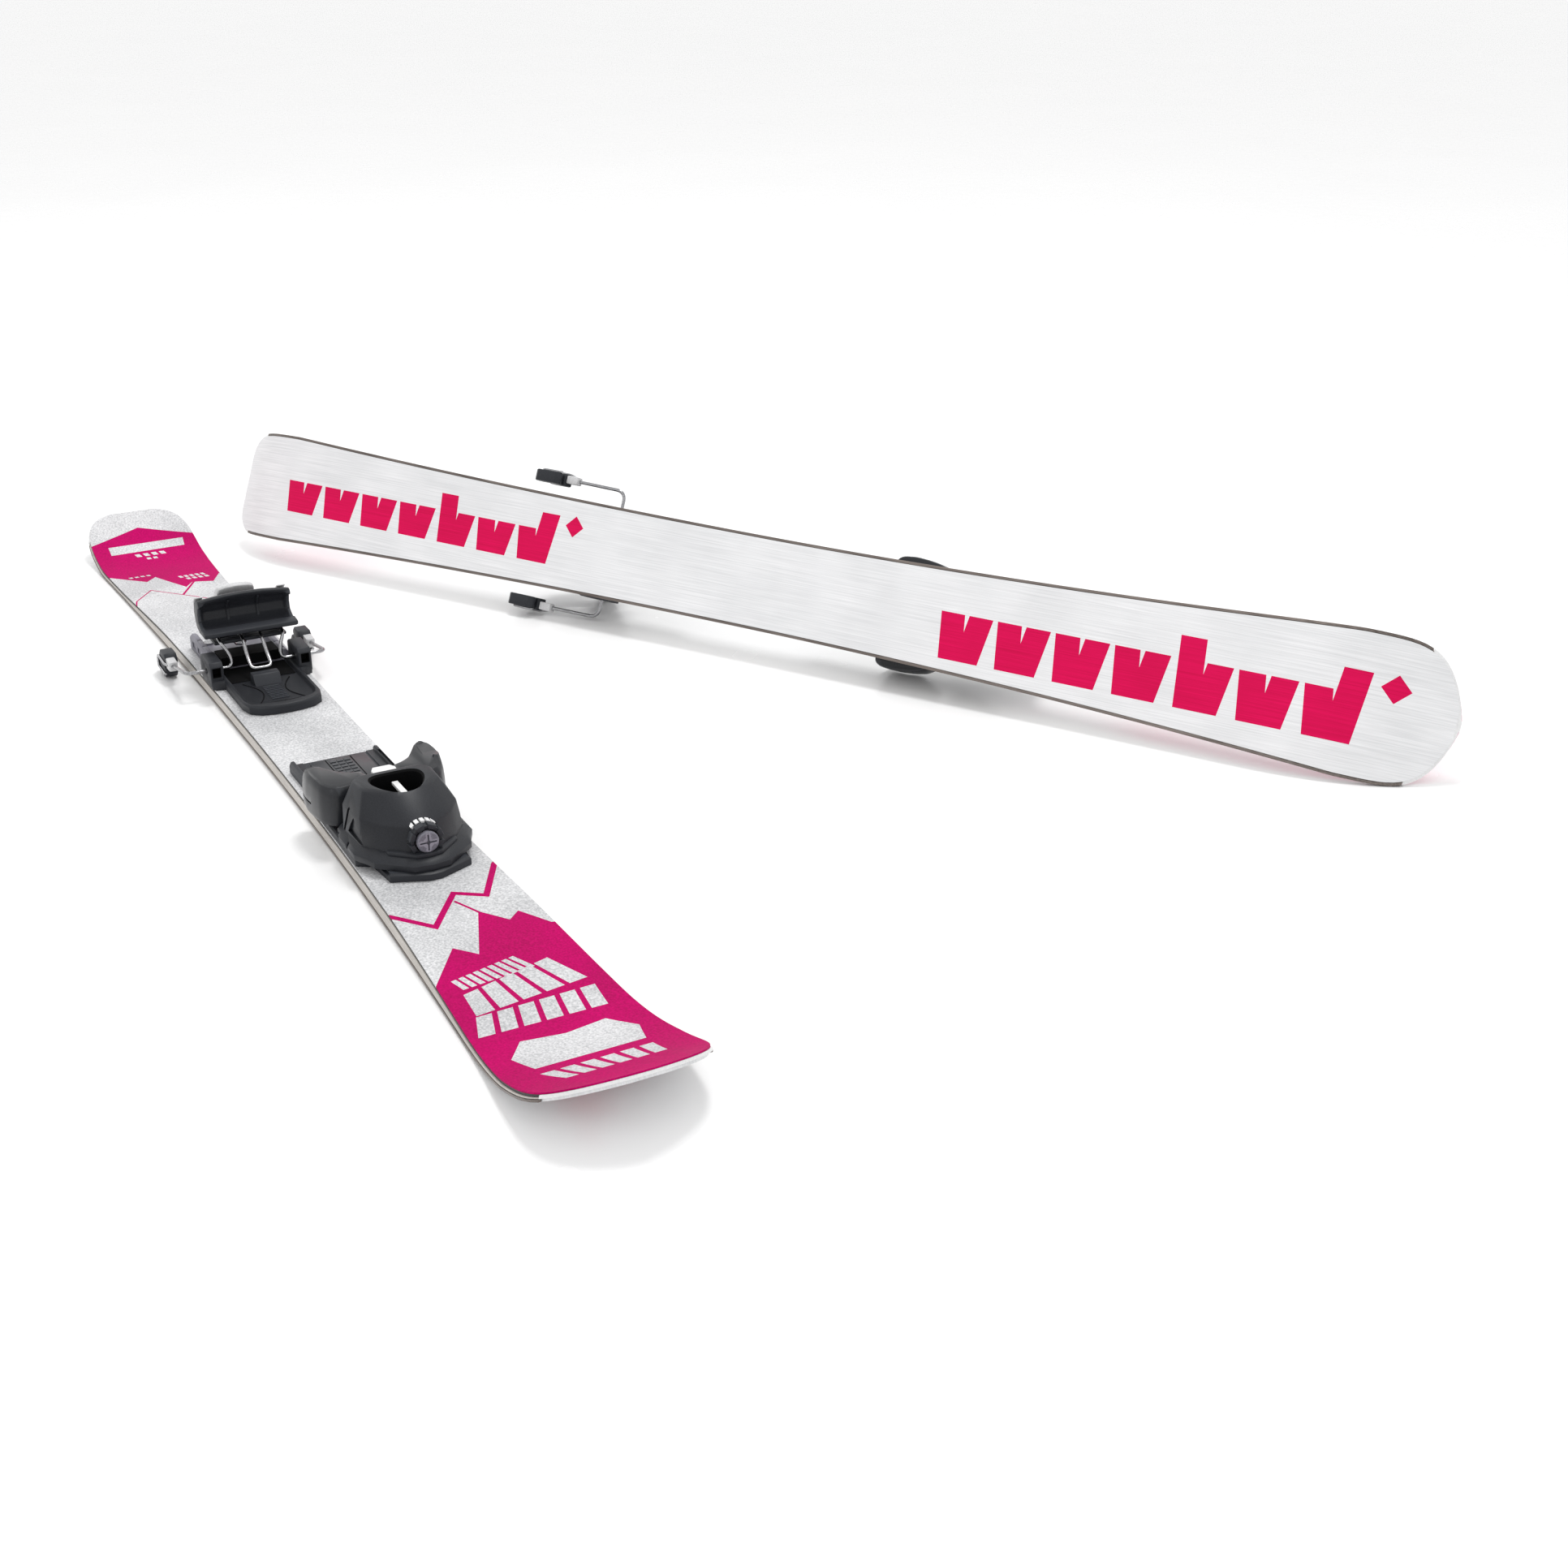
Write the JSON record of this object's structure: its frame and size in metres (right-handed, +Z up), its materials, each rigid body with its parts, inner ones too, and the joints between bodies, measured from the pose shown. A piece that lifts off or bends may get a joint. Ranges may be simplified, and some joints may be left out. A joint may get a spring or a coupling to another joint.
{
  "type": "pair of short alpine skis with bindings",
  "caption": "Pair of short alpine skis with release bindings and ski brakes, one lying on its base and one leaning on its edge.",
  "frame": {"origin": "centre of the first ski's flat running base, at half its length", "axes": "+X along the first ski to its tip, +Y to its left-hand side seen from the tail towards the second ski, +Z up out of its deck"},
  "size_m": [1.16, 0.7761, 0.1217],
  "materials": {
    "plastic": "satin charcoal",
    "pale_plastic": "satin grey violet",
    "steel": "bright drawn wire",
    "edge_steel": "ground",
    "topsheet": "fine grained white with printed colour",
    "running_base": "ground and waxed",
    "sidewall": "satin cream",
    "wood": "laminated",
    "white_plastic": "satin white"
  },
  "bodies": {
    "ski1": {"ski1_base_sheet": "running_base", "ski1_edge_left": "edge_steel", "ski1_edge_right": "edge_steel", "ski1_sidewall_left": "sidewall", "ski1_sidewall_right": "sidewall", "ski1_core": "wood", "ski1_tail_spacer": "white_plastic", "ski1_tip_spacer": "white_plastic", "ski1_topsheet": "topsheet", "ski1_toe_plate": "plastic", "ski1_toe_housing": "plastic", "ski1_toe_spring": "steel", "ski1_heel_track": "pale_plastic", "ski1_brake_base": "plastic"},
    "ski1_toe_wing_left": {"ski1_wing_left": "plastic"},
    "ski1_toe_wing_right": {"ski1_wing_right": "plastic"},
    "ski1_toe_screw": {"ski1_toe_din_screw": "pale_plastic"},
    "ski1_toe_pointer": {"ski1_toe_indicator": "white_plastic"},
    "ski1_afd_slider": {"ski1_afd_pad": "pale_plastic"},
    "ski1_heel_slider": {"ski1_heel_carriage": "plastic", "ski1_heel_spring": "steel"},
    "ski1_heel_screw": {"ski1_heel_din_screw": "pale_plastic"},
    "ski1_cup": {"ski1_heel_cup": "plastic"},
    "ski1_lever": {"ski1_heel_lever": "pale_plastic"},
    "ski1_brake_wires": {"ski1_brake_arm_left": "steel", "ski1_brake_arm_right": "steel", "ski1_brake_foot_left": "plastic", "ski1_brake_foot_right": "plastic"},
    "ski1_pedal": {"ski1_brake_pedal": "plastic", "ski1_brake_legs": "steel"},
    "ski2": {"ski2_base_sheet": "running_base", "ski2_edge_left": "edge_steel", "ski2_edge_right": "edge_steel", "ski2_sidewall_left": "sidewall", "ski2_sidewall_right": "sidewall", "ski2_core": "wood", "ski2_tail_spacer": "white_plastic", "ski2_tip_spacer": "white_plastic", "ski2_topsheet": "topsheet", "ski2_toe_plate": "plastic", "ski2_toe_housing": "plastic", "ski2_toe_spring": "steel", "ski2_heel_track": "pale_plastic", "ski2_brake_base": "plastic"},
    "ski2_toe_wing_left": {"ski2_wing_left": "plastic"},
    "ski2_toe_wing_right": {"ski2_wing_right": "plastic"},
    "ski2_toe_screw": {"ski2_toe_din_screw": "pale_plastic"},
    "ski2_toe_pointer": {"ski2_toe_indicator": "white_plastic"},
    "ski2_afd_slider": {"ski2_afd_pad": "pale_plastic"},
    "ski2_heel_slider": {"ski2_heel_carriage": "plastic", "ski2_heel_spring": "steel"},
    "ski2_heel_screw": {"ski2_heel_din_screw": "pale_plastic"},
    "ski2_cup": {"ski2_heel_cup": "plastic"},
    "ski2_lever": {"ski2_heel_lever": "pale_plastic"},
    "ski2_brake_wires": {"ski2_brake_arm_left": "steel", "ski2_brake_arm_right": "steel", "ski2_brake_foot_left": "plastic", "ski2_brake_foot_right": "plastic"},
    "ski2_pedal": {"ski2_brake_pedal": "plastic", "ski2_brake_legs": "steel"}
  },
  "joints": [
    {"name": "ski1_wing_left_release", "type": "hinge", "parent": "ski1", "child": "ski1_toe_wing_left", "pos_m": [0.162, -0.03, 0.0195], "axis": [0, 0, 1], "range_deg": [0, 30], "stiffness_Nm_per_rad": 2, "springref_deg": -17.19},
    {"name": "ski1_wing_right_release", "type": "hinge", "parent": "ski1", "child": "ski1_toe_wing_right", "pos_m": [0.162, 0.03, 0.0195], "axis": [0, 0, -1], "range_deg": [0, 30], "stiffness_Nm_per_rad": 2, "springref_deg": -17.19},
    {"name": "ski1_toe_pointer_slide", "type": "slide", "parent": "ski1", "child": "ski1_toe_pointer", "axis": [1, 0, 0], "range_m": [-0.0024, 0.0024]},
    {"name": "ski1_toe_setting", "type": "hinge", "parent": "ski1", "child": "ski1_toe_screw", "pos_m": [0.2525, 0, 0.033], "axis": [1, 0, 0], "range_deg": [-1080, 1080]},
    {"name": "ski1_afd_slide", "type": "slide", "parent": "ski1", "child": "ski1_afd_slider", "axis": [0, 1, 0], "range_m": [-0.008, 0.008], "stiffness_N_per_m": 300},
    {"name": "ski1_heel_adjust", "type": "slide", "parent": "ski1", "child": "ski1_heel_slider", "axis": [1, 0, 0], "range_m": [-0.01, 0.002]},
    {"name": "ski1_heel_setting", "type": "hinge", "parent": "ski1_heel_slider", "child": "ski1_heel_screw", "pos_m": [-0.235, 0, 0.0275], "axis": [-1, 0, 0], "range_deg": [-1080, 1080]},
    {"name": "ski1_cup_opening", "type": "hinge", "parent": "ski1_heel_slider", "child": "ski1_cup", "pos_m": [-0.2, 0, 0.045], "axis": [0, -1, 0], "range_deg": [0, 30]},
    {"name": "ski1_lever_press", "type": "hinge", "parent": "ski1_heel_slider", "child": "ski1_lever", "pos_m": [-0.216, 0, 0.041], "axis": [0, -1, 0], "range_deg": [0, 39]},
    {"name": "ski1_brake_hinge", "type": "hinge", "parent": "ski1", "child": "ski1_brake_wires", "pos_m": [-0.1465, 0, 0.0235], "axis": [0, 1, 0], "range_deg": [0, 20], "stiffness_Nm_per_rad": 0.6, "springref_deg": -28.65},
    {"name": "ski1_pedal_hinge", "type": "hinge", "parent": "ski1", "child": "ski1_pedal", "pos_m": [-0.1465, 0, 0.0235], "axis": [0, -1, 0], "range_deg": [0, 24]},
    {"name": "ski2_wing_left_release", "type": "hinge", "parent": "ski2", "child": "ski2_toe_wing_left", "pos_m": [0.08778, 0.4892, 0.08051], "axis": [-0.4681, 0.7773, -0.4204], "range_deg": [0, 30], "stiffness_Nm_per_rad": 2, "springref_deg": -17.19},
    {"name": "ski2_wing_right_release", "type": "hinge", "parent": "ski2", "child": "ski2_toe_wing_right", "pos_m": [0.10016, 0.46722, 0.02608], "axis": [0.4681, -0.7773, 0.4204], "range_deg": [0, 30], "stiffness_Nm_per_rad": 2, "springref_deg": -17.19},
    {"name": "ski2_toe_pointer_slide", "type": "slide", "parent": "ski2", "child": "ski2_toe_pointer", "axis": [0.8592, 0.5114, -0.0112], "range_m": [-0.0024, 0.0024]},
    {"name": "ski2_toe_setting", "type": "hinge", "parent": "ski2", "child": "ski2_toe_screw", "pos_m": [0.16541, 0.53499, 0.04661], "axis": [0.8592, 0.5114, -0.0112], "range_deg": [-1080, 1080]},
    {"name": "ski2_afd_slide", "type": "slide", "parent": "ski2", "child": "ski2_afd_slider", "axis": [0.2063, -0.3664, -0.9073], "range_m": [-0.008, 0.008], "stiffness_N_per_m": 300},
    {"name": "ski2_heel_adjust", "type": "slide", "parent": "ski2", "child": "ski2_heel_slider", "axis": [0.8592, 0.5114, -0.0112], "range_m": [-0.01, 0.002]},
    {"name": "ski2_heel_setting", "type": "hinge", "parent": "ski2_heel_slider", "child": "ski2_heel_screw", "pos_m": [-0.2509, 0.28139, 0.05436], "axis": [-0.8592, -0.5114, 0.0112], "range_deg": [-1080, 1080]},
    {"name": "ski2_cup_opening", "type": "hinge", "parent": "ski2_heel_slider", "child": "ski2_cup", "pos_m": [-0.22901, 0.31289, 0.04662], "axis": [-0.2063, 0.3664, 0.9073], "range_deg": [0, 30]},
    {"name": "ski2_lever_press", "type": "hinge", "parent": "ski2_heel_slider", "child": "ski2_lever", "pos_m": [-0.24089, 0.3016, 0.04848], "axis": [-0.2063, 0.3664, 0.9073], "range_deg": [0, 39]},
    {"name": "ski2_brake_hinge", "type": "hinge", "parent": "ski2", "child": "ski2_brake_wires", "pos_m": [-0.17298, 0.32354, 0.05506], "axis": [0.2063, -0.3664, -0.9073], "range_deg": [0, 20], "stiffness_Nm_per_rad": 0.6, "springref_deg": -28.65},
    {"name": "ski2_pedal_hinge", "type": "hinge", "parent": "ski2", "child": "ski2_pedal", "pos_m": [-0.17298, 0.32354, 0.05506], "axis": [-0.2063, 0.3664, 0.9073], "range_deg": [0, 24]},
    {"name": "ski2_lift_off", "type": "slide", "parent": "ski1", "child": "ski2", "axis": [0, 0, 1], "range_m": [0, 0.4]}
  ],
  "couplings": [
    {"joint": "ski1_toe_setting", "follows": "ski1_toe_pointer_slide", "rad_per_m": 7850},
    {"joint": "ski1_lever_press", "follows": "ski1_cup_opening", "ratio": 1.3},
    {"joint": "ski1_pedal_hinge", "follows": "ski1_brake_hinge", "ratio": 1.2},
    {"joint": "ski2_toe_setting", "follows": "ski2_toe_pointer_slide", "rad_per_m": 7850},
    {"joint": "ski2_lever_press", "follows": "ski2_cup_opening", "ratio": 1.3},
    {"joint": "ski2_pedal_hinge", "follows": "ski2_brake_hinge", "ratio": 1.2}
  ]
}
